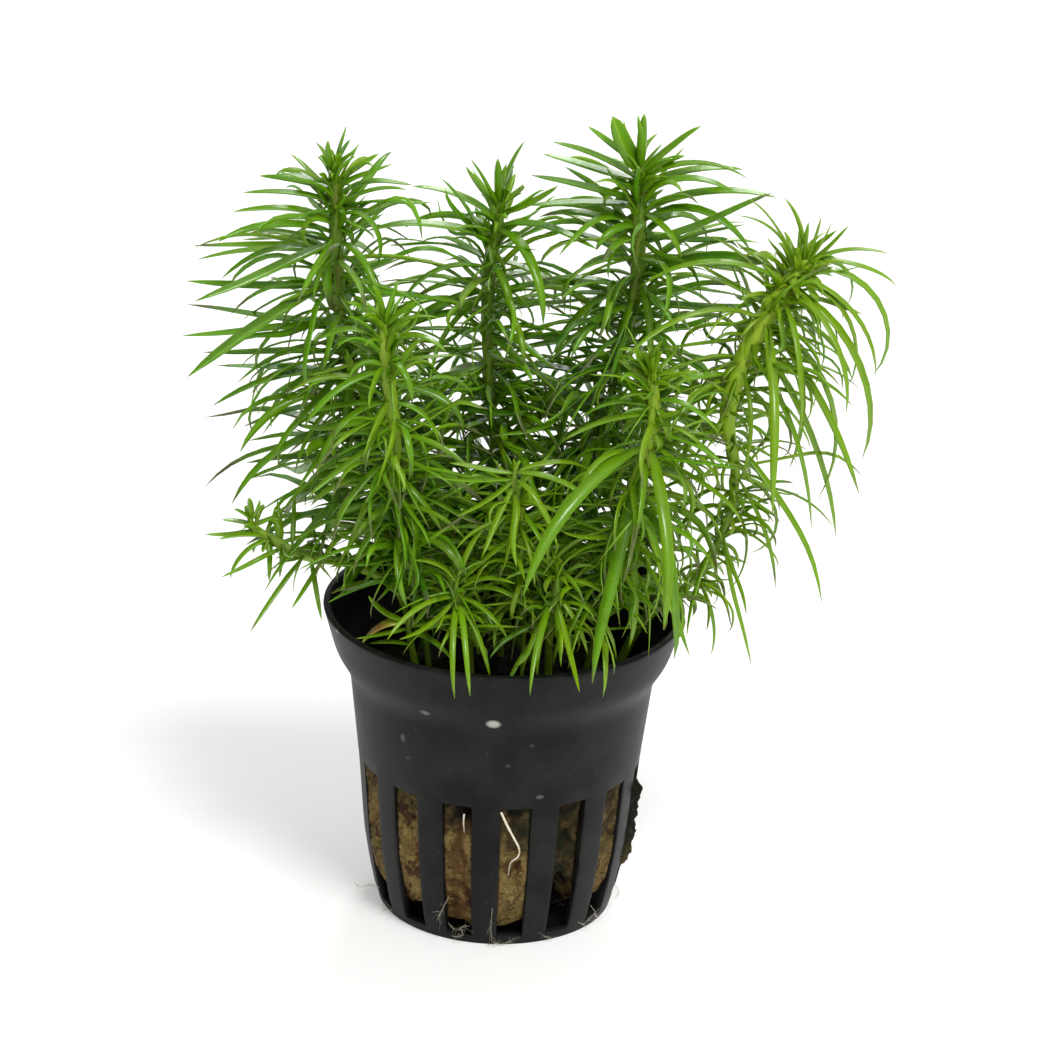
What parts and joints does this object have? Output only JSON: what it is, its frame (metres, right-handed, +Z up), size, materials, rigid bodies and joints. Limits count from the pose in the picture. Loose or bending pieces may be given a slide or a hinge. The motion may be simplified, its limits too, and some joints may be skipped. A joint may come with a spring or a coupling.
{
  "type": "potted aquarium plant",
  "caption": "Bushy aquarium plant with whorls of narrow pointed leaves on upright and drooping shoots, growing in rockwool in a slotted black net pot.",
  "frame": {"origin": "centre of the underside of the pot, where it rests", "axes": "+Z up along the pot's axis, -Y the front that the picture shows, +X to the right in the picture"},
  "size_m": [0.1061, 0.0656, 0.1249],
  "materials": {
    "pot_plastic": "satin black injection-moulded polypropylene",
    "rockwool": "matt, fibrous, tan with dark green and brown patches",
    "leaf_green": "living leaf, smooth with a soft gloss, bright green",
    "leaf_yellow_green": "living leaf, smooth with a soft gloss, yellow-green",
    "root": "pale, moist and slightly translucent"
  },
  "bodies": {
    "root": {"pot": "pot_plastic", "rockwool_plug": "rockwool", "back_left_shoot": "leaf_green", "back_middle_shoot": "leaf_green", "back_right_shoot": "leaf_green", "right_shoot": "leaf_yellow_green", "front_left_shoot": "leaf_green", "front_right_shoot": "leaf_yellow_green", "left_side_shoot": "leaf_yellow_green", "middle_front_shoot": "leaf_green", "low_left_shoot": "leaf_green", "low_right_shoot": "leaf_green", "rim_left_shoot": "leaf_green", "white_root": "root", "short_root": "root"}
  },
  "joints": []
}
